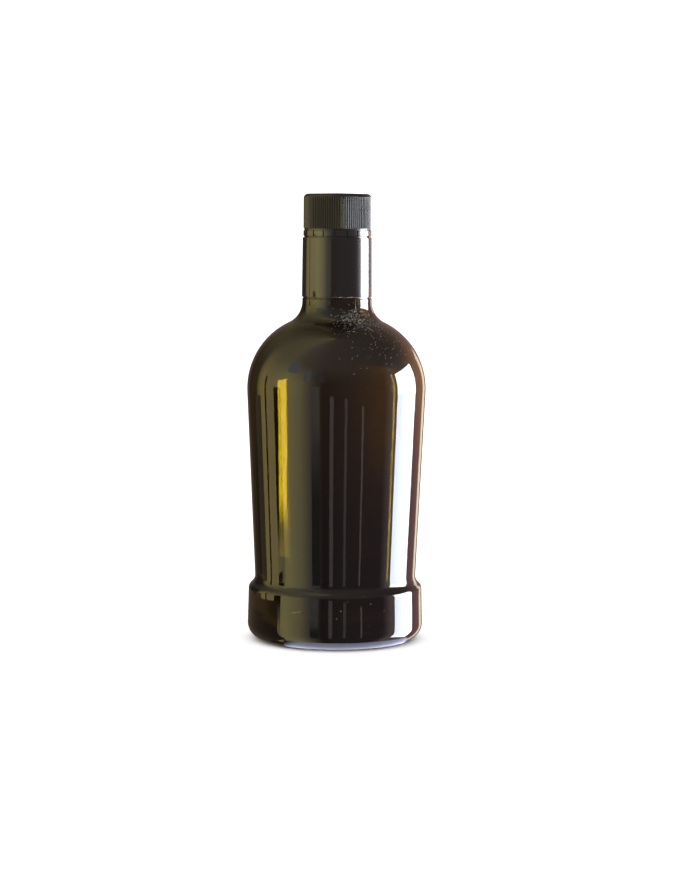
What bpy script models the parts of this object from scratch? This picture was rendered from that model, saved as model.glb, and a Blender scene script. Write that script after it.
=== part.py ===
"""A squat spirits bottle of dark green glass, shut by a black non-refillable closure.

Metres, +Z up. The origin is the middle of the ring that the bottle stands on, and the front faces -Y.
Four pieces: the glass bottle, the sleeve clipped on its neck, the tamper band and the ribbed screw cap.
"""
import math

import bmesh
import bpy
from mathutils import Matrix, Vector

# Glass: the foot, a ring wider than the body above it
FOOT_RADIUS = 0.0398
FOOT_TOP = 0.0261
FOOT_TAPER = 0.00035
HEEL_RADIUS = 0.0075
FOOT_EDGE_RADIUS = 0.0030
LEDGE_FILLET = 0.0047

# Glass: the body, which widens upwards, the round shoulder and the neck
BODY_LOW_RADIUS = 0.03655
BODY_TOP_RADIUS = 0.0405
SHOULDER_HEIGHT = 0.1142
SHOULDER_RADIUS = 0.0332
NECK_RADIUS = 0.01575
NECK_FILLET = 0.0104
NECK_STEP = 0.1551

# Glass: the plain finish under the closure, and the inside
FINISH_RADIUS = 0.0137
MOUTH_HEIGHT = 0.1970
LIP_RADIUS = 0.0009
BORE_RADIUS = 0.0100
BORE_FILLET = 0.0120
WALL = 0.0052
FLOOR_THICKNESS = 0.0055
INNER_HEEL_RADIUS = 0.0090
BEARING_WIDTH = 0.0030
PUNT_HEIGHT = 0.0040

# Closure
TOTAL_HEIGHT = 0.2022
SEAM = 0.00045
CAP_RADIUS = 0.0154
CAP_HEIGHT = 0.01625
CAP_EDGE_RADIUS = 0.0022
CAP_DOME = 0.00025
CAP_ROOF = 0.0020
CAP_LIP_HEIGHT = 0.00045
RIB_COUNT = 90
RIB_DEPTH = 0.00035
BAND_HEIGHT = 0.0027
BAND_RADIUS = 0.0154
SLOT_COUNT = 18
SLOT_WIDTH = 0.0005
SLOT_DEPTH = 0.0006
SLOT_TURN = -3.7
SLEEVE_TOP_RADIUS = 0.01572
SLEEVE_LOW_RADIUS = 0.01595
EDGE_RADIUS = 0.0003
CLOSURE_BORE = 0.0141

# Fineness of the turned shapes
GLASS_SEGMENTS = 56
CLOSURE_SEGMENTS = 54
SHARP_ANGLE = math.radians(35)


def arc(centre, radius, start, end, steps):
    """Points of an arc in the profile plane, as (radius, height), between two angles in degrees."""
    points = []
    for i in range(steps + 1):
        angle = math.radians(start + (end - start) * i / steps)
        points.append((centre[0] + radius * math.cos(angle), centre[1] + radius * math.sin(angle)))
    return points


def swept_neck(body_radius, shoulder_radius, neck_radius, fillet, draft, steps):
    """The shoulder arc and the hollow fillet that meets it, up to the neck's upright line."""
    centre = (body_radius - shoulder_radius, SHOULDER_HEIGHT)
    across = neck_radius + fillet - centre[0]
    up = math.sqrt((shoulder_radius + fillet) ** 2 - across ** 2)
    meet = math.degrees(math.atan2(up, across))
    shoulder = arc(centre, shoulder_radius, -draft, meet, steps)
    hollow = arc((neck_radius + fillet, SHOULDER_HEIGHT + up), fillet, 180 + meet, 180, steps // 2)
    return shoulder + hollow[1:]


def foot_and_ledge(draft):
    """The heel, the foot's wall, its rounded upper edge and the hollow fillet up to the body."""
    heel = arc((FOOT_RADIUS - HEEL_RADIUS, HEEL_RADIUS), HEEL_RADIUS, -90, 0, 6)
    edge = (FOOT_RADIUS - FOOT_TAPER - FOOT_EDGE_RADIUS, FOOT_TOP - FOOT_EDGE_RADIUS)
    across = BODY_LOW_RADIUS + LEDGE_FILLET - edge[0]
    up = math.sqrt((FOOT_EDGE_RADIUS + LEDGE_FILLET) ** 2 - across ** 2)
    meet = math.degrees(math.atan2(up, across))
    rounded = arc(edge, FOOT_EDGE_RADIUS, 0, meet, 3)
    ledge = arc((edge[0] + across, edge[1] + up), LEDGE_FILLET, 180 + meet, 180 - draft, 3)
    return heel + rounded + ledge[1:]


def punt():
    """The shallow rise inside the bearing ring, from the axis out to the ring."""
    inner = FOOT_RADIUS - HEEL_RADIUS - BEARING_WIDTH
    steps = 3
    return [(inner * i / steps, PUNT_HEIGHT * math.cos(math.pi / 2 * i / steps)) for i in range(steps + 1)]


def floor_inside(wall_radius):
    """The inside's heel and its floor, from the wall in to the axis."""
    edge = wall_radius - INNER_HEEL_RADIUS
    heel = arc((edge, FLOOR_THICKNESS + INNER_HEEL_RADIUS), INNER_HEEL_RADIUS, 0, -90, 3)
    rise = PUNT_HEIGHT
    return heel + [(edge / 2, FLOOR_THICKNESS + rise * 0.75), (0.0, FLOOR_THICKNESS + rise)]


def turn(name, profile, segments, closed):
    """One object from a profile of (radius, height) points spun round the Z axis."""
    shape = bmesh.new()
    verts = [shape.verts.new((radius, 0.0, height)) for radius, height in profile]
    edges = [shape.edges.new(pair) for pair in zip(verts, verts[1:])]
    if closed:
        edges.append(shape.edges.new((verts[-1], verts[0])))
    bmesh.ops.spin(shape, geom=verts + edges, cent=(0, 0, 0), axis=(0, 0, 1), angle=math.tau,
                   steps=segments, use_merge=True)
    bmesh.ops.remove_doubles(shape, verts=shape.verts, dist=1e-6)
    bmesh.ops.recalc_face_normals(shape, faces=shape.faces)
    mesh = bpy.data.meshes.new(name)
    shape.to_mesh(mesh)
    shape.free()
    mesh.shade_smooth()
    mesh.set_sharp_from_angle(angle=SHARP_ANGLE)
    piece = bpy.data.objects.new(name, mesh)
    bpy.context.collection.objects.link(piece)
    return piece


def finish(piece, label, colour, roughness):
    """Gives a piece its own material."""
    material = bpy.data.materials.new(label)
    material.use_nodes = True
    shader = material.node_tree.nodes["Principled BSDF"]
    shader.inputs["Base Color"].default_value = (*colour, 1.0)
    shader.inputs["Roughness"].default_value = roughness
    shader.inputs["Metallic"].default_value = 0.0
    piece.data.materials.append(material)
    return shader


def make_bottle():
    """The glass: foot, body, shoulder, neck and finish outside, and one smooth hollow inside."""
    draft = math.degrees(math.atan((BODY_TOP_RADIUS - BODY_LOW_RADIUS) / (SHOULDER_HEIGHT - FOOT_TOP)))
    inner_top = BODY_TOP_RADIUS - WALL
    inner_low = BODY_LOW_RADIUS - WALL
    outside = punt() + foot_and_ledge(draft)
    outside += swept_neck(BODY_TOP_RADIUS, SHOULDER_RADIUS, NECK_RADIUS, NECK_FILLET, draft, 11)
    outside += arc((NECK_RADIUS - EDGE_RADIUS, NECK_STEP - EDGE_RADIUS), EDGE_RADIUS, 0, 90, 2)
    outside.append((FINISH_RADIUS, NECK_STEP))
    outside += arc((FINISH_RADIUS - LIP_RADIUS, MOUTH_HEIGHT - LIP_RADIUS), LIP_RADIUS, 0, 90, 3)
    inside = arc((BORE_RADIUS + LIP_RADIUS, MOUTH_HEIGHT - LIP_RADIUS), LIP_RADIUS, 90, 180, 3)
    inside += swept_neck(inner_top, SHOULDER_RADIUS - WALL, BORE_RADIUS, BORE_FILLET, draft, 6)[::-1]
    inside += floor_inside(inner_low)
    bottle = turn("bottle", outside + inside, GLASS_SEGMENTS, closed=False)
    shader = finish(bottle, "antique_green_glass", (0.016, 0.012, 0.006), 0.04)
    shader.inputs["IOR"].default_value = 1.52
    return bottle


def make_sleeve(top):
    """The smooth skirt fixed on the neck, a little wider at its foot."""
    low = NECK_STEP + SEAM
    profile = arc((SLEEVE_TOP_RADIUS - EDGE_RADIUS, top - EDGE_RADIUS), EDGE_RADIUS, 90, 0, 2)
    profile += arc((SLEEVE_LOW_RADIUS - EDGE_RADIUS, low + EDGE_RADIUS), EDGE_RADIUS, 0, -90, 2)
    profile += [(CLOSURE_BORE, low), (CLOSURE_BORE, top)]
    sleeve = turn("neck_sleeve", profile, CLOSURE_SEGMENTS, closed=True)
    finish(sleeve, "gloss_black_plastic", (0.012, 0.011, 0.010), 0.12)


def make_slot_cutter(low, high):
    """The blocks that cut the band's upright slots."""
    shape = bmesh.new()
    size = Vector((2 * SLOT_DEPTH, SLOT_WIDTH, 2 * (high - low)))
    for i in range(SLOT_COUNT):
        turned = Matrix.Rotation(math.radians(SLOT_TURN - 90) + math.tau * i / SLOT_COUNT, 4, "Z")
        place = turned @ Matrix.Translation((BAND_RADIUS, 0, (low + high) / 2)) @ Matrix.Diagonal((*size, 1))
        bmesh.ops.create_cube(shape, size=1.0, matrix=place)
    mesh = bpy.data.meshes.new("slot_cutter")
    shape.to_mesh(mesh)
    shape.free()
    cutter = bpy.data.objects.new("slot_cutter", mesh)
    bpy.context.collection.objects.link(cutter)
    cutter.hide_render = True
    cutter.display_type = "WIRE"
    return cutter


def make_band(low, high):
    """The tamper band, with narrow upright slots between its tabs."""
    profile = arc((BAND_RADIUS - EDGE_RADIUS, high - EDGE_RADIUS), EDGE_RADIUS, 90, 0, 2)
    profile += arc((BAND_RADIUS - EDGE_RADIUS, low + EDGE_RADIUS), EDGE_RADIUS, 0, -90, 2)
    profile += [(CLOSURE_BORE, low), (CLOSURE_BORE, high)]
    band = turn("tamper_band", profile, CLOSURE_SEGMENTS, closed=True)
    slots = band.modifiers.new("slots", "BOOLEAN")
    slots.operation = "DIFFERENCE"
    slots.object = make_slot_cutter(low, high)
    finish(band, "satin_black_plastic_band", (0.014, 0.013, 0.012), 0.25)


def make_cap(low):
    """The screw cap: fine upright ribs that run out in its rounded top edge, over a plain lip."""
    high = TOTAL_HEIGHT - CAP_DOME
    profile = [(0.0, TOTAL_HEIGHT)]
    profile += arc((CAP_RADIUS - CAP_EDGE_RADIUS, high - CAP_EDGE_RADIUS), CAP_EDGE_RADIUS, 90, 0, 5)
    profile += [(CAP_RADIUS, low + CAP_LIP_HEIGHT), (CAP_RADIUS - RIB_DEPTH, low + CAP_LIP_HEIGHT - RIB_DEPTH / 2)]
    profile += [(CAP_RADIUS - RIB_DEPTH, low), (CLOSURE_BORE, low)]
    profile += [(CLOSURE_BORE, high - CAP_ROOF), (0.0, high - CAP_ROOF)]
    cap = turn("screw_cap", profile, 2 * RIB_COUNT, closed=False)
    step = math.tau / (2 * RIB_COUNT)
    groove = CAP_RADIUS - RIB_DEPTH
    for vert in cap.data.vertices:
        radius = math.hypot(vert.co.x, vert.co.y)
        place = round(math.atan2(vert.co.y, vert.co.x) / step)
        if place % 2 and radius > groove:
            vert.co.x *= groove / radius
            vert.co.y *= groove / radius
    finish(cap, "satin_black_plastic_cap", (0.014, 0.013, 0.012), 0.3)


for old in list(bpy.data.objects):
    bpy.data.objects.remove(old, do_unlink=True)

cap_low = TOTAL_HEIGHT - CAP_HEIGHT
band_high = cap_low - SEAM
band_low = band_high - BAND_HEIGHT
make_bottle()
make_sleeve(band_low - SEAM)
make_band(band_low, band_high)
make_cap(cap_low)
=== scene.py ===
"""A squat spirits bottle of near-black green glass, empty, shut by a black non-refillable closure."""
import math
import random

import bmesh
import bpy
from mathutils import Matrix, Vector, noise
from mathutils.bvhtree import BVHTree


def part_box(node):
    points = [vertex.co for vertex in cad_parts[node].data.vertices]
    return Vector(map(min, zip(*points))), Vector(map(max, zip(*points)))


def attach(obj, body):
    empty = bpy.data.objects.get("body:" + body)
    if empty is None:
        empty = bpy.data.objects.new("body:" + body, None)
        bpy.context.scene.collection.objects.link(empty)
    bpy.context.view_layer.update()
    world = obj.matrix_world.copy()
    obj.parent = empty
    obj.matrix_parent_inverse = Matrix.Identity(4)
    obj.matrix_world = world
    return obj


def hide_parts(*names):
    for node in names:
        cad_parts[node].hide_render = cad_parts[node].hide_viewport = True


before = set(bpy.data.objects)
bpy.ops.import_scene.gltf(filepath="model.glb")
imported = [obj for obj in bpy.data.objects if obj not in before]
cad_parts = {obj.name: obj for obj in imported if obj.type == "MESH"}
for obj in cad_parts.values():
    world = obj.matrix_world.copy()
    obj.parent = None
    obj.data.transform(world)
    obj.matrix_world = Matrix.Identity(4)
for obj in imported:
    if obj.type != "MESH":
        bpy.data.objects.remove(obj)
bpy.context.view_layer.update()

# The camera stands about level with the cap's top, a little over a metre in front of the bottle, and looks
# slightly down. The bottle is a little left of the picture's middle, and its axis leans right by a hair.
PICTURE_HEIGHT_PX = 869
FOCAL_PX = 2450
SENSOR_MM = 36.0
CAMERA_DISTANCE = 1.1073
CAMERA_HEIGHT = 0.1955
CAMERA_SIDE = 0.0063
CAMERA_PITCH = math.radians(5.28)
CAMERA_ROLL = math.radians(0.42)

camera_data = bpy.data.cameras.new("camera")
camera_data.sensor_fit = "VERTICAL"
camera_data.sensor_height = SENSOR_MM
camera_data.lens = SENSOR_MM * FOCAL_PX / PICTURE_HEIGHT_PX
camera_data.clip_start = 0.01
camera = bpy.data.objects.new("camera", camera_data)
bpy.context.scene.collection.objects.link(camera)
camera.matrix_world = (Matrix.Translation((CAMERA_SIDE, -CAMERA_DISTANCE, CAMERA_HEIGHT))
                       @ Matrix.Rotation(math.radians(90) - CAMERA_PITCH, 4, "X")
                       @ Matrix.Rotation(CAMERA_ROLL, 4, "Z"))
bpy.context.scene.camera = camera

# The bottle: antique green glass, pressed and blown in a two-part mould. The foot is a ring wider than the
# body, the body widens upwards to a round shoulder, and the neck ends in a step below the sleeve.
MM = 0.001
_, bottle_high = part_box("bottle")
sleeve_low, sleeve_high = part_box("neck_sleeve")
FOOT_RADIUS = 39.8 * MM
FOOT_TOP = 26.1 * MM
FOOT_TAPER = 0.35 * MM
HEEL_RADIUS = 7.5 * MM
FOOT_EDGE_RADIUS = 3.0 * MM
LEDGE_FILLET = 4.7 * MM
BODY_LOW_RADIUS = 36.55 * MM
BODY_TOP_RADIUS = bottle_high.x
SHOULDER_HEIGHT = 114.2 * MM
SHOULDER_RADIUS = 33.2 * MM
NECK_RADIUS = 15.75 * MM
NECK_FILLET = 10.4 * MM
SEAM_GAP = 0.45 * MM
NECK_STEP = sleeve_low.z - SEAM_GAP
STEP_EDGE_RADIUS = 0.3 * MM
FINISH_RADIUS = 13.7 * MM
MOUTH_HEIGHT = bottle_high.z
LIP_RADIUS = 0.9 * MM
BORE_RADIUS = 10.0 * MM
BORE_FILLET = 12.0 * MM
WALL = 5.2 * MM
FLOOR_THICKNESS = 5.5 * MM
INNER_HEEL_RADIUS = 9.0 * MM
BEARING_WIDTH = 3.0 * MM
PUNT_HEIGHT = 4.0 * MM
PUNT_STEPS = 8
GLASS_SEGMENTS = 240
BODY_STEPS = 24
MERGE_DISTANCE = 0.001 * MM
SHARP_ANGLE = math.radians(35)
WAVE_DEPTH = 0.03 * MM
WAVE_LENGTH = 22 * MM


def run_to(shape, end, radius, height, steps=1):
    """Extends the profile straight from its end to this radius and height, and returns the new end."""
    start = end.co.copy()
    goal = Vector((radius, 0.0, height))
    for i in range(steps):
        end = bmesh.ops.extrude_vert_indiv(shape, verts=[end])["verts"][0]
        end.co = start.lerp(goal, (i + 1) / steps)
    return end


def bend(shape, end, centre, degrees, steps):
    """Extends the profile by an arc about a centre, anticlockwise where degrees is positive."""
    made = bmesh.ops.spin(shape, geom=[end], cent=(centre[0], 0, centre[1]), axis=(0, -1, 0),
                          angle=math.radians(degrees), steps=steps)
    return next(item for item in made["geom_last"] if isinstance(item, bmesh.types.BMVert))


def new_piece(name, shape):
    """Makes the shape an object of the scene, and frees the shape."""
    mesh = bpy.data.meshes.new(name)
    shape.to_mesh(mesh)
    shape.free()
    piece = bpy.data.objects.new(name, mesh)
    bpy.context.scene.collection.objects.link(piece)
    return piece


def turned_piece(name, shape, segments):
    """Spins the profile round the Z axis and returns the closed piece."""
    bmesh.ops.spin(shape, geom=shape.verts[:] + shape.edges[:], cent=(0, 0, 0), axis=(0, 0, 1),
                   angle=math.tau, steps=segments, use_merge=True)
    bmesh.ops.remove_doubles(shape, verts=shape.verts, dist=MERGE_DISTANCE)
    bmesh.ops.recalc_face_normals(shape, faces=shape.faces)
    piece = new_piece(name, shape)
    piece.data.shade_smooth()
    piece.data.set_sharp_from_angle(angle=SHARP_ANGLE)
    return piece


def swept_arcs(body_radius, shoulder_radius, neck_radius, fillet):
    """The shoulder's centre, the neck fillet's centre and the angle above level where the arcs meet."""
    centre = (body_radius - shoulder_radius, SHOULDER_HEIGHT)
    across = neck_radius + fillet - centre[0]
    up = math.sqrt((shoulder_radius + fillet) ** 2 - across ** 2)
    return centre, (neck_radius + fillet, SHOULDER_HEIGHT + up), math.degrees(math.atan2(up, across))


draft = math.degrees(math.atan((BODY_TOP_RADIUS - BODY_LOW_RADIUS) / (SHOULDER_HEIGHT - FOOT_TOP)))
shape = bmesh.new()
end = shape.verts.new((0.0, 0.0, PUNT_HEIGHT))
bearing = FOOT_RADIUS - HEEL_RADIUS
for i in range(PUNT_STEPS):
    part = (i + 1) / PUNT_STEPS
    end = run_to(shape, end, (bearing - BEARING_WIDTH) * part, PUNT_HEIGHT * math.cos(math.pi / 2 * part))
end = run_to(shape, end, bearing, 0.0)
end = bend(shape, end, (bearing, HEEL_RADIUS), 90, steps=16)
edge = (FOOT_RADIUS - FOOT_TAPER - FOOT_EDGE_RADIUS, FOOT_TOP - FOOT_EDGE_RADIUS)
across = BODY_LOW_RADIUS + LEDGE_FILLET - edge[0]
up = math.sqrt((FOOT_EDGE_RADIUS + LEDGE_FILLET) ** 2 - across ** 2)
meet = math.degrees(math.atan2(up, across))
end = run_to(shape, end, edge[0] + FOOT_EDGE_RADIUS, edge[1], steps=4)
end = bend(shape, end, edge, meet, steps=8)
end = bend(shape, end, (edge[0] + across, edge[1] + up), -meet - draft, steps=10)
centre, hollow, meet = swept_arcs(BODY_TOP_RADIUS, SHOULDER_RADIUS, NECK_RADIUS, NECK_FILLET)
low_turn = math.radians(draft)
end = run_to(shape, end, centre[0] + SHOULDER_RADIUS * math.cos(low_turn),
             centre[1] - SHOULDER_RADIUS * math.sin(low_turn), BODY_STEPS)
end = bend(shape, end, centre, meet + draft, steps=40)
end = bend(shape, end, hollow, -meet, steps=20)
end = run_to(shape, end, NECK_RADIUS, NECK_STEP - STEP_EDGE_RADIUS)
end = bend(shape, end, (NECK_RADIUS - STEP_EDGE_RADIUS, NECK_STEP - STEP_EDGE_RADIUS), 90, steps=4)
end = run_to(shape, end, FINISH_RADIUS, NECK_STEP)
end = run_to(shape, end, FINISH_RADIUS, MOUTH_HEIGHT - LIP_RADIUS)
end = bend(shape, end, (FINISH_RADIUS - LIP_RADIUS, MOUTH_HEIGHT - LIP_RADIUS), 90, steps=6)
end = run_to(shape, end, BORE_RADIUS + LIP_RADIUS, MOUTH_HEIGHT)
end = bend(shape, end, (BORE_RADIUS + LIP_RADIUS, MOUTH_HEIGHT - LIP_RADIUS), 90, steps=6)
inner = BODY_TOP_RADIUS - WALL
centre, hollow, meet = swept_arcs(inner, SHOULDER_RADIUS - WALL, BORE_RADIUS, BORE_FILLET)
end = run_to(shape, end, BORE_RADIUS, hollow[1], steps=4)
end = bend(shape, end, hollow, meet, steps=14)
end = bend(shape, end, centre, -meet - draft, steps=28)
inner = BODY_LOW_RADIUS - WALL
end = run_to(shape, end, inner, FLOOR_THICKNESS + INNER_HEEL_RADIUS, BODY_STEPS)
end = bend(shape, end, (inner - INNER_HEEL_RADIUS, FLOOR_THICKNESS + INNER_HEEL_RADIUS), -90, steps=12)
end = run_to(shape, end, 0.0, FLOOR_THICKNESS + PUNT_HEIGHT, steps=6)
for vert in shape.verts:
    vert.co.y = 0.0
bottle = turned_piece("glass_bottle", shape, GLASS_SEGMENTS)
for vert in bottle.data.vertices:
    radius = math.hypot(vert.co.x, vert.co.y)
    if radius > BORE_RADIUS + LIP_RADIUS and HEEL_RADIUS < vert.co.z < NECK_STEP:
        sunk = WAVE_DEPTH * (1 - noise.noise(vert.co / WAVE_LENGTH)) / 2
        vert.co.x -= sunk * vert.co.x / radius
        vert.co.y -= sunk * vert.co.y / radius


def linear(colour):
    """The linear colour of an sRGB hex value."""
    shares = [int(colour[i:i + 2], 16) / 255 for i in (1, 3, 5)]
    return [s / 12.92 if s <= 0.04045 else ((s + 0.055) / 1.055) ** 2.4 for s in shares] + [1.0]


def add_node(tree, kind, links=(), **settings):
    """Adds a node, sets its values, with _ for a space in a name, and links (output, input) pairs."""
    node = tree.nodes.new(kind)
    for key, value in settings.items():
        if hasattr(node, key):
            setattr(node, key, value)
        else:
            node.inputs[key.replace("_", " ")].default_value = value
    for output, name in links:
        tree.links.new(output, node.inputs[name])
    return node


def new_material(name):
    """An empty node material and its tree."""
    material = bpy.data.materials.new(name)
    material.use_nodes = True
    material.node_tree.nodes.clear()
    return material, material.node_tree


# Antique green soda-lime glass: smooth as blown, with slow waves from the mould that bend what it mirrors,
# and so much iron and chrome in it that it lets through only a little olive and yellow light.
GLASS_IOR = 1.52
GLASS_TINT = "#958d4b"
GLASS_DEPTH_COLOUR = "#dcd451"
GLASS_DEPTH_DENSITY = 200.0
material, tree = new_material("antique_green_glass")
place = add_node(tree, "ShaderNodeTexCoord")
slow = add_node(tree, "ShaderNodeTexNoise", [(place.outputs["Object"], "Vector")],
                Scale=60.0, Detail=1.0)
bump = add_node(tree, "ShaderNodeBump", [(slow.outputs["Fac"], "Height")],
                Strength=0.12, Distance=0.4 * MM)
shader = add_node(tree, "ShaderNodeBsdfPrincipled", [(bump.outputs["Normal"], "Normal")],
                  IOR=GLASS_IOR, Roughness=0.01, Transmission_Weight=1.0)
shader.inputs["Base Color"].default_value = linear(GLASS_TINT)
depth = add_node(tree, "ShaderNodeVolumeAbsorption", Density=GLASS_DEPTH_DENSITY)
depth.inputs["Color"].default_value = linear(GLASS_DEPTH_COLOUR)
add_node(tree, "ShaderNodeOutputMaterial",
         [(shader.outputs["BSDF"], "Surface"), (depth.outputs["Volume"], "Volume")])
bottle.data.materials.append(material)
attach(bottle, "root")
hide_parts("bottle")

# The sleeve: the long skirt of the closure, moulded in black plastic with a high gloss and pressed on the
# neck so that it can't be pulled off. It widens by a hair downwards, and both its edges are softly rounded.
# A thin collar inside each edge closes the seams to the glass below and to the band above.
SLEEVE_TOP_RADIUS = 15.72 * MM
SLEEVE_LOW_RADIUS = sleeve_high.x
SLEEVE_EDGE = 0.3 * MM
CLOSURE_BORE = 14.1 * MM
COLLAR_HEIGHT = 0.4 * MM
COLLAR_LOW_RADIUS = 15.35 * MM
COLLAR_TOP_RADIUS = 15.0 * MM
SLEEVE_SEGMENTS = 180
PLASTIC_IOR = 1.49
SKIN_DETAIL = 2.0


def black_plastic(name, colour, skin_scale, skin_strength, skin_depth, **gloss):
    """Moulded black plastic, with a slightly uneven skin."""
    material, tree = new_material(name)
    place = add_node(tree, "ShaderNodeTexCoord")
    skin = add_node(tree, "ShaderNodeTexNoise", [(place.outputs["Object"], "Vector")],
                    Scale=skin_scale, Detail=SKIN_DETAIL)
    bump = add_node(tree, "ShaderNodeBump", [(skin.outputs["Fac"], "Height")],
                    Strength=skin_strength, Distance=skin_depth)
    shader = add_node(tree, "ShaderNodeBsdfPrincipled", [(bump.outputs["Normal"], "Normal")],
                      IOR=PLASTIC_IOR, **gloss)
    shader.inputs["Base Color"].default_value = linear(colour)
    add_node(tree, "ShaderNodeOutputMaterial", [(shader.outputs["BSDF"], "Surface")])
    return material


shape = bmesh.new()
end = shape.verts.new((CLOSURE_BORE, 0.0, sleeve_low.z - COLLAR_HEIGHT))
start = end
end = run_to(shape, end, COLLAR_LOW_RADIUS, sleeve_low.z - COLLAR_HEIGHT)
end = run_to(shape, end, COLLAR_LOW_RADIUS, sleeve_low.z)
end = run_to(shape, end, SLEEVE_LOW_RADIUS - SLEEVE_EDGE, sleeve_low.z)
end = bend(shape, end, (SLEEVE_LOW_RADIUS - SLEEVE_EDGE, sleeve_low.z + SLEEVE_EDGE), 90, steps=5)
end = run_to(shape, end, SLEEVE_TOP_RADIUS, sleeve_high.z - SLEEVE_EDGE, steps=8)
end = bend(shape, end, (SLEEVE_TOP_RADIUS - SLEEVE_EDGE, sleeve_high.z - SLEEVE_EDGE), 90, steps=5)
end = run_to(shape, end, COLLAR_TOP_RADIUS, sleeve_high.z)
end = run_to(shape, end, COLLAR_TOP_RADIUS, sleeve_high.z + COLLAR_HEIGHT)
end = run_to(shape, end, CLOSURE_BORE, sleeve_high.z + COLLAR_HEIGHT)
shape.edges.new((end, start))
sleeve = turned_piece("closure_sleeve", shape, SLEEVE_SEGMENTS)
material = black_plastic("gloss_black_polypropylene", "#0e0d0c", 90.0, 0.1, 0.2 * MM,
                         Roughness=0.1, Coat_Weight=0.5, Coat_Roughness=0.24)
sleeve.data.materials.append(material)
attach(sleeve, "root")
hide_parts("neck_sleeve")

# The tamper band: a narrow ring of semi-gloss black plastic under the cap, cut into tabs by thin upright
# slots. It breaks from the cap when the bottle is first opened. A collar closes its seam to the cap.
band_low, band_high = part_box("tamper_band")
BAND_RADIUS = band_high.x
SLOT_COUNT = 18
SLOT_WIDTH = 0.5 * MM
SLOT_DEPTH = 0.6 * MM
SLOT_TURN = math.radians(-3.7 - 90)
BAND_SEGMENTS = 720
shape = bmesh.new()
end = shape.verts.new((CLOSURE_BORE, 0.0, band_low.z))
start = end
end = run_to(shape, end, BAND_RADIUS - SLEEVE_EDGE, band_low.z)
end = bend(shape, end, (BAND_RADIUS - SLEEVE_EDGE, band_low.z + SLEEVE_EDGE), 90, steps=4)
end = run_to(shape, end, BAND_RADIUS, band_high.z - SLEEVE_EDGE, steps=2)
end = bend(shape, end, (BAND_RADIUS - SLEEVE_EDGE, band_high.z - SLEEVE_EDGE), 90, steps=4)
end = run_to(shape, end, COLLAR_TOP_RADIUS, band_high.z)
end = run_to(shape, end, COLLAR_TOP_RADIUS, band_high.z + COLLAR_HEIGHT)
end = run_to(shape, end, CLOSURE_BORE, band_high.z + COLLAR_HEIGHT)
shape.edges.new((end, start))
band = turned_piece("tamper_band_ring", shape, BAND_SEGMENTS)
slot_half = SLOT_WIDTH / 2 / BAND_RADIUS
slot_floor = BAND_RADIUS - SLOT_DEPTH
for vert in band.data.vertices:
    radius = math.hypot(vert.co.x, vert.co.y)
    turn = (math.atan2(vert.co.y, vert.co.x) - SLOT_TURN) % (math.tau / SLOT_COUNT)
    turn = min(turn, math.tau / SLOT_COUNT - turn)
    if turn < slot_half and radius > slot_floor:
        vert.co.x *= slot_floor / radius
        vert.co.y *= slot_floor / radius
band.data.set_sharp_from_angle(angle=SHARP_ANGLE)
material = black_plastic("semi_gloss_black_polypropylene", "#0e0d0c", 250.0, 0.15, 0.1 * MM,
                         Roughness=0.16, Coat_Weight=0.8, Coat_Roughness=0.3)
band.data.materials.append(material)
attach(band, "root")
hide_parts("tamper_band")

# The screw cap: satin black plastic, with fine upright ribs for grip that run out in its rounded top edge,
# over a plain lip. Each rib is a ridge with a rounded top, and its right flank mirrors the window as a
# thin stripe.
cap_low, cap_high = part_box("screw_cap")
CAP_RADIUS = cap_high.x
CAP_EDGE_RADIUS = 2.2 * MM
CAP_DOME = 0.25 * MM
CAP_ROOF = 2.0 * MM
CAP_LIP_HEIGHT = 0.45 * MM
RIB_COUNT = 90
RIB_ROUND = 0.26 * MM
CAP_LIP_INSET = 0.3 * MM
CAP_LIP_CHAMFER = 0.1 * MM
STEPS_PER_RIB = 12
edge_top = cap_high.z - CAP_DOME
shape = bmesh.new()
end = shape.verts.new((0.0, 0.0, edge_top - CAP_ROOF))
end = run_to(shape, end, CLOSURE_BORE, edge_top - CAP_ROOF)
end = run_to(shape, end, CLOSURE_BORE, cap_low.z)
end = run_to(shape, end, CAP_RADIUS - CAP_LIP_INSET, cap_low.z)
end = run_to(shape, end, CAP_RADIUS - CAP_LIP_INSET, cap_low.z + CAP_LIP_HEIGHT)
end = run_to(shape, end, CAP_RADIUS, cap_low.z + CAP_LIP_HEIGHT + CAP_LIP_CHAMFER)
end = run_to(shape, end, CAP_RADIUS, edge_top - CAP_EDGE_RADIUS, steps=3)
end = bend(shape, end, (CAP_RADIUS - CAP_EDGE_RADIUS, edge_top - CAP_EDGE_RADIUS), 90, steps=10)
end = run_to(shape, end, 0.0, cap_high.z, steps=3)
cap = turned_piece("ribbed_screw_cap", shape, RIB_COUNT * STEPS_PER_RIB)
rib_turn = math.tau / RIB_COUNT
rib_half = CAP_RADIUS * rib_turn / 2
for vert in cap.data.vertices:
    radius = math.hypot(vert.co.x, vert.co.y)
    aside = ((math.atan2(vert.co.y, vert.co.x) / rib_turn + 0.5) % 1 - 0.5) * 2 * rib_half
    surface = CAP_RADIUS + RIB_ROUND - math.hypot(aside, RIB_ROUND)
    if radius > surface:
        vert.co.x *= surface / radius
        vert.co.y *= surface / radius
cap.data.set_sharp_from_angle(angle=SHARP_ANGLE)
material = black_plastic("satin_black_polypropylene", "#100f0e", 1500.0, 0.05, 0.01 * MM, Roughness=0.12)
cap.data.materials.append(material)
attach(cap, "root")
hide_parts("screw_cap")

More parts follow.
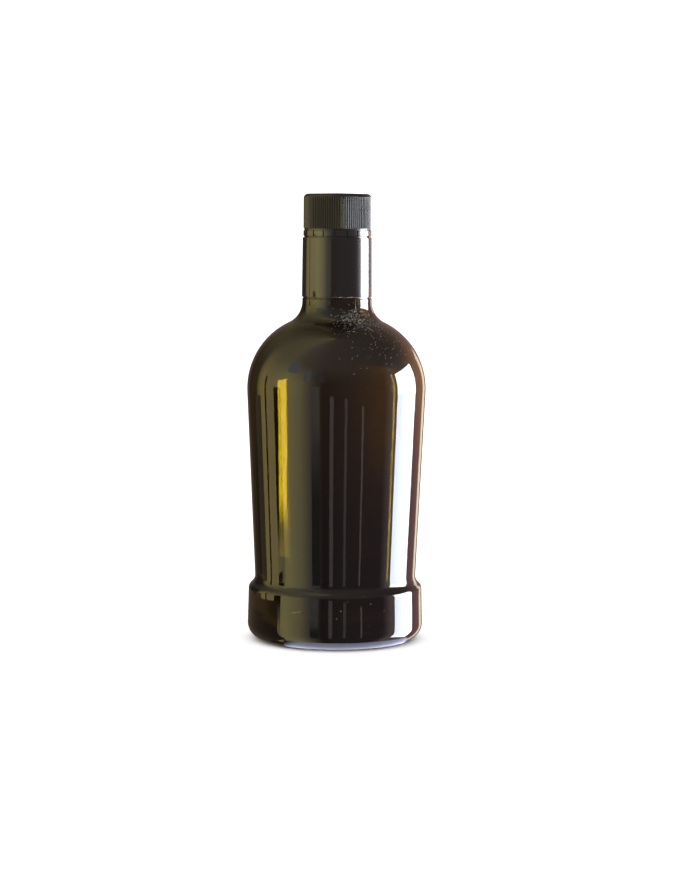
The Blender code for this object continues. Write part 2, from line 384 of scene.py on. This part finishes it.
# Dust and a painted highlight: pale grains that lie on the right of the shoulder where it runs into the
# neck, thickest at the front, and a few on the sleeve and on the foot. A thin line of them along the
# sleeve's lower edge is partly dust and partly a painted highlight of that edge's bright rim. Each patch
# has its surface, its number of grains, and their mean bearing in degrees and mean height in millimetres,
# with the spreads.
GRAIN_RADIUS = (0.05 * MM, 0.13 * MM)
GRAIN_STRETCH = (0.9, 1.25)
GRAIN_FLATNESS = 0.6
GRAIN_RAY_START = 0.1
GRAIN_LEAST_FACING = 0.05
draw = random.Random(7)


def faces_of(piece):
    """The piece's faces, for rays to hit."""
    mesh = piece.data
    return BVHTree.FromPolygons([v.co for v in mesh.vertices], [p.vertices for p in mesh.polygons])


glass_tree = faces_of(bottle)
sleeve_tree = faces_of(sleeve)
patches = [(glass_tree, 420, (26, 15), (146, 2.6)), (glass_tree, 80, (44, 14), (141, 5)),
           (glass_tree, 70, (38, 18), (133, 7)), (glass_tree, 14, (20, 30), (20, 6)),
           # The second patch on the next line is a thin line along the sleeve's lower edge: partly dust,
           # partly a painted highlight.
           (sleeve_tree, 24, (43, 1.2), (170, 6)), (sleeve_tree, 60, (30, 22), (155.8, 0.15))]
shape = bmesh.new()
for surface, count, (turn, turn_spread), (height, height_spread) in patches:
    for _ in range(count):
        bearing = math.radians(draw.gauss(turn, turn_spread) - 90)
        ray = Vector((math.cos(bearing), math.sin(bearing), 0))
        start = ray * GRAIN_RAY_START + Vector((0, 0, draw.gauss(height, height_spread) * MM))
        spot, normal, _, _ = surface.ray_cast(start, -ray)
        if spot is None or normal.dot(ray) < GRAIN_LEAST_FACING:
            continue
        size = draw.uniform(*GRAIN_RADIUS)
        place = (Matrix.Translation(spot) @ normal.to_track_quat("Z", "Y").to_matrix().to_4x4()
                 @ Matrix.Rotation(draw.uniform(0, math.tau), 4, "Z")
                 @ Matrix.Diagonal((size * draw.uniform(*GRAIN_STRETCH), size, size * GRAIN_FLATNESS, 1)))
        bmesh.ops.create_icosphere(shape, subdivisions=1, radius=1.0, matrix=place)
# All the grains share one pale colour, so the line along the sleeve's lower edge paints a highlight as well
# as dust.
dust_and_highlight = new_piece("dust_and_highlight_grains", shape)
material, tree = new_material("pale_dust_and_painted_highlight")
place = add_node(tree, "ShaderNodeTexCoord")
grain = add_node(tree, "ShaderNodeTexNoise", [(place.outputs["Object"], "Vector")], Scale=900.0)
shades = add_node(tree, "ShaderNodeValToRGB", [(grain.outputs["Fac"], "Fac")])
shades.color_ramp.elements[0].color = linear("#6b6458")
shades.color_ramp.elements[1].color = linear("#e8e2d6")
shader = add_node(tree, "ShaderNodeBsdfPrincipled", [(shades.outputs["Color"], "Base Color")],
                  Roughness=0.9)
add_node(tree, "ShaderNodeOutputMaterial", [(shader.outputs["BSDF"], "Surface")])
dust_and_highlight.data.materials.append(material)
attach(dust_and_highlight, "root")

# The studio: a plain pale floor and a white surround light the scene softly. What the glass and the plastic
# mirror is a dim brown room, and cards round the bottle that the camera doesn't see: they show in mirrors,
# through the glass or both.
FLOOR_SIZE = 8.0
shape = bmesh.new()
bmesh.ops.create_grid(shape, x_segments=1, y_segments=1, size=FLOOR_SIZE / 2)
floor = new_piece("floor", shape)
floor.visible_glossy = False
floor.visible_transmission = False
material, tree = new_material("pale_matt_paint")
shader = add_node(tree, "ShaderNodeBsdfDiffuse")
shader.inputs["Color"].default_value = linear("#f6f6f8")
add_node(tree, "ShaderNodeOutputMaterial", [(shader.outputs["BSDF"], "Surface")])
floor.data.materials.append(material)

# The room's colours at bearings in degrees to the right of the line from the bottle to the camera: the
# walls and the ceiling that the surfaces mirror, and the dim light that shines through from behind.
SURROUND_STRENGTH = 1.7
ROOM_STRENGTH = 4.0
ROOM_COLOURS = [(-180, "#4d423f"), (-146, "#1d1915"), (-125, "#2c271d"), (-119, "#82744d"),
                (-112, "#a5955e"), (-98, "#b1a06c"), (-68, "#cfc486"), (-48, "#b3a77f"), (-33, "#787063"),
                (-17, "#3f3533"), (5, "#494141"), (66, "#4d4245"), (74, "#786c6c"), (82, "#95867f"),
                (135, "#745353"), (180, "#4d423f")]
CEILING_COLOURS = [(-180, "#4d4845"), (-150, "#47422c"), (-125, "#635e4b"), (-104, "#7f795d"),
                   (-75, "#8e886c"), (-48, "#746e65"), (-15, "#635b57"), (60, "#5b5552"),
                   (145, "#453f3c"), (180, "#4d4845")]
BEHIND_COLOURS = [(-180, "#352721"), (-174, "#362c21"), (-166, "#473f2c"), (-158, "#363021"),
                  (-132, "#2c271d"), (-118, "#4d4730"), (-60, "#827853"), (-20, "#3f302c"),
                  (100, "#473630"), (130, "#746359"), (168, "#86704d"), (175, "#745e3f"),
                  (178, "#4d3c2c"), (180, "#352721")]
CEILING_RISE = (8, 45)
BEHIND_RISE = (-7.2, -3.8)
BEHIND_FALL = (4, 25)
BEHIND_HIGH_SHARE = 0.15
world = bpy.data.worlds.new("dim_room")
bpy.context.scene.world = world
world.use_nodes = True
tree = world.node_tree
tree.nodes.clear()
place = add_node(tree, "ShaderNodeTexCoord")
parts = add_node(tree, "ShaderNodeSeparateXYZ", [(place.outputs["Generated"], "Vector")])
toward = add_node(tree, "ShaderNodeMath", [(parts.outputs["Y"], 0)], operation="MULTIPLY")
toward.inputs[1].default_value = -1.0
bearing = add_node(tree, "ShaderNodeMath", [(parts.outputs["X"], 0), (toward.outputs[0], 1)],
                   operation="ARCTAN2")
share = add_node(tree, "ShaderNodeMath", [(bearing.outputs[0], 0)], operation="MULTIPLY_ADD")
share.inputs[1].default_value = 1 / math.tau
share.inputs[2].default_value = 0.5


def room_colours(colours):
    """A ramp that gives these colours round the horizon."""
    ramp = add_node(tree, "ShaderNodeValToRGB", [(share.outputs[0], "Fac")])
    stops = ramp.color_ramp.elements
    while len(stops) < len(colours):
        stops.new(0.5)
    for stop, (degrees, colour) in zip(stops, colours):
        stop.position = degrees / 360 + 0.5
        stop.color = linear(colour)
    return ramp.outputs["Color"]


def rise(elevations, low=0.0, high=1.0):
    """A smooth change from one value to another between two elevations in degrees."""
    sines = [math.sin(math.radians(e)) for e in elevations]
    change = add_node(tree, "ShaderNodeMapRange", [(parts.outputs["Z"], "Value")],
                      interpolation_type="SMOOTHSTEP",
                      From_Min=sines[0], From_Max=sines[1], To_Min=low, To_Max=high)
    return change.outputs["Result"]


walls = add_node(tree, "ShaderNodeBackground", [(room_colours(ROOM_COLOURS), "Color")],
                 Strength=ROOM_STRENGTH)
ceiling = add_node(tree, "ShaderNodeBackground", [(room_colours(CEILING_COLOURS), "Color")],
                   Strength=ROOM_STRENGTH)
mirrored = add_node(tree, "ShaderNodeMixShader",
                    [(rise(CEILING_RISE), 0), (walls.outputs[0], 1), (ceiling.outputs[0], 2)])
low_share = rise(BEHIND_RISE, 0.0, ROOM_STRENGTH)
high_share = rise(BEHIND_FALL, 1.0, BEHIND_HIGH_SHARE)
strength = add_node(tree, "ShaderNodeMath", [(low_share, 0), (high_share, 1)], operation="MULTIPLY")
behind = add_node(tree, "ShaderNodeBackground",
                  [(room_colours(BEHIND_COLOURS), "Color"), (strength.outputs[0], "Strength")])
path = add_node(tree, "ShaderNodeLightPath")
dim = add_node(tree, "ShaderNodeMixShader",
               [(path.outputs["Is Transmission Ray"], 0), (mirrored.outputs[0], 1), (behind.outputs[0], 2)])
seen = add_node(tree, "ShaderNodeMath",
                [(path.outputs["Is Camera Ray"], 0), (path.outputs["Is Diffuse Ray"], 1)],
                operation="MAXIMUM")
white = add_node(tree, "ShaderNodeBackground", Color=(1.0, 1.0, 1.0, 1.0), Strength=SURROUND_STRENGTH)
either = add_node(tree, "ShaderNodeMixShader",
                  [(seen.outputs[0], 0), (dim.outputs[0], 1), (white.outputs[0], 2)])
add_node(tree, "ShaderNodeOutputWorld", [(either.outputs[0], "Surface")])

# The window on the right, its dim reveal and its light on the ground, as the surfaces mirror them, the
# window's near edge once more inside the front wall, a pale wall at the back, and a bright upright strip
# that shines through from behind on the left.
CARD_DISTANCE = 1.6
CARD_MIDDLE = 0.1


def glow_material(name, colour, radiance, axis="Z", ends=None, share=0.0):
    """A glow. It can fade along an axis, from full at the second end to a share of it at the first."""
    material, tree = new_material(name)
    glow = add_node(tree, "ShaderNodeEmission", Color=linear(colour), Strength=radiance)
    if ends:
        place = add_node(tree, "ShaderNodeTexCoord")
        parts = add_node(tree, "ShaderNodeSeparateXYZ", [(place.outputs["Object"], "Vector")])
        grow = add_node(tree, "ShaderNodeMapRange", [(parts.outputs[axis], "Value")],
                        interpolation_type="SMOOTHSTEP",
                        From_Min=ends[0], From_Max=ends[1], To_Min=radiance * share, To_Max=radiance)
        tree.links.new(grow.outputs["Result"], glow.inputs["Strength"])
    add_node(tree, "ShaderNodeOutputMaterial", [(glow.outputs["Emission"], "Surface")])
    return material


def card(name, bearings, elevations, colour, radiance, distance=CARD_DISTANCE, mirrored=True, through=False,
         fade=None):
    """A glowing card between two bearings and two elevations, in degrees, seen from the bottle. It can
    fade, from full glow at the second of two elevations to a share of it at the first."""
    width = 2 * distance * math.tan(math.radians(bearings[1] - bearings[0]) / 2)
    low, high = (CARD_MIDDLE + distance * math.tan(math.radians(e)) for e in elevations)
    shape = bmesh.new()
    place = (Matrix.Rotation(math.radians(sum(bearings) / 2), 4, "Z")
             @ Matrix.Translation((0, -distance, (low + high) / 2))
             @ Matrix.Rotation(math.radians(90), 4, "X")
             @ Matrix.Diagonal((width / 2, (high - low) / 2, 1, 1)))
    bmesh.ops.create_grid(shape, x_segments=1, y_segments=1, size=1.0, matrix=place)
    piece = new_piece(name, shape)
    piece.visible_camera = False
    piece.visible_diffuse = False
    piece.visible_shadow = False
    piece.visible_glossy = mirrored
    piece.visible_transmission = through
    ends, share = None, 0.0
    if fade:
        *turns, share = fade
        ends = [CARD_MIDDLE + distance * math.tan(math.radians(e)) for e in turns]
    piece.data.materials.append(glow_material(name + "_glow", colour, radiance, ends=ends, share=share))


card("window_mirrored", (84.6, 122), (-4, 19.5), "#f0f6ff", 24.0)
card("ground_mirrored", (85.2, 122), (-35, -4), "#e8f0ff", 19.0)
card("window_edge_inside", (86, 89), (-16, 19.5), "#fff4ff", 30.0, mirrored=False, through=True)
card("window_reveal", (73, 84.6), (-1.5, 8), "#fff0d8", 1.2)
card("pale_wall_back", (147, 158), (-35, 12), "#fff2d8", 2.4)
card("bright_strip_behind", (-172.4, -168.9), (-10, -2.0), "#fffae8", 14.0, mirrored=False, through=True,
     fade=(-9.1, -7.6, 0.12))

# Dim boards close behind the neck and the body's left edge. They show only through the glass, and keep the
# bright strip out of both.
BOARD_DISTANCE = 0.1
card("dim_board_behind", (-212, -138), (13.5, 48), "#ffd9a0", 0.14, BOARD_DISTANCE, mirrored=False,
     through=True)
card("dim_board_left", (-155.8, -132), (-50, 13.5), "#ffd9a0", 0.14, BOARD_DISTANCE, mirrored=False,
     through=True)

# On the left a dark upright that glows khaki at its foot, a thin dark one, the ground's dark edge, three
# grey panes and a grey upright. In front faint pale uprights, and on the left the dark ground close by.
FLAG_DISTANCE = 1.5
UPRIGHT_DISTANCE = 0.5
NEAR_DISTANCE = 0.12
card("dark_upright", (-84.9, -73.3), (-32, 4), "#ffefaa", 1.5, UPRIGHT_DISTANCE, fade=(-14.6, -18.3, 0.04))
card("dark_ground_edge", (-127, -113.5), (-36, -6), "#ffe0b0", 0.25, FLAG_DISTANCE)
card("dark_thin_upright", (-104.2, -101.4), (-30, 12), "#000000", 0.0, FLAG_DISTANCE)
card("grey_pane_high", (-71, -55), (24, 37), "#dbe4f0", 1.3, FLAG_DISTANCE)
card("grey_pane_middle", (-43, -34), (14, 30), "#dbe4f0", 1.2, FLAG_DISTANCE)
card("grey_pane_low", (-28, -15), (15, 24), "#dbe4f0", 0.5, FLAG_DISTANCE)
card("grey_upright", (-32, -21), (-30, 8), "#f0ece6", 0.75, FLAG_DISTANCE, fade=(-13, -9, 0.3))
card("faint_upright_middle", (-8, -3), (-30, -6), "#f4e6e6", 0.9, FLAG_DISTANCE)
card("faint_upright_thin", (11, 14.5), (-30, -8), "#f4e6e6", 0.8, FLAG_DISTANCE)
card("faint_upright_right", (33.5, 36), (-30, -9), "#f4e6e6", 1.1, FLAG_DISTANCE)
card("dark_ground_near", (-140.3, -70.8), (-60, -37.1), "#ffdcb8", 0.18, NEAR_DISTANCE, through=True)

# The pale table just under the heel, a part of a ring that only the heel's front mirrors. It fades out at
# its left end.
TABLE_RADII = (0.034, 0.0412)
TABLE_HEIGHT = -0.0005
TABLE_BEARINGS = (-40, 66)
TABLE_DIM_SIDE = -0.026
TABLE_BRIGHT_SIDE = -0.017
TABLE_GLOW = 3.6
shape = bmesh.new()
turn = Matrix.Rotation(math.radians(TABLE_BEARINGS[0]), 4, "Z")
ends = [shape.verts.new(turn @ Vector((0, -radius, TABLE_HEIGHT))) for radius in TABLE_RADII]
bmesh.ops.spin(shape, geom=ends + [shape.edges.new(ends)], cent=(0, 0, 0), axis=(0, 0, 1),
               angle=math.radians(TABLE_BEARINGS[1] - TABLE_BEARINGS[0]), steps=32)
table = new_piece("pale_table_mirrored", shape)
for ray_kind in ("camera", "diffuse", "transmission", "shadow"):
    setattr(table, "visible_" + ray_kind, False)
table.data.materials.append(glow_material("pale_table_glow", "#dcdfff", TABLE_GLOW, axis="X",
                                          ends=(TABLE_DIM_SIDE, TABLE_BRIGHT_SIDE)))

bpy.context.scene.view_settings.view_transform = "Standard"
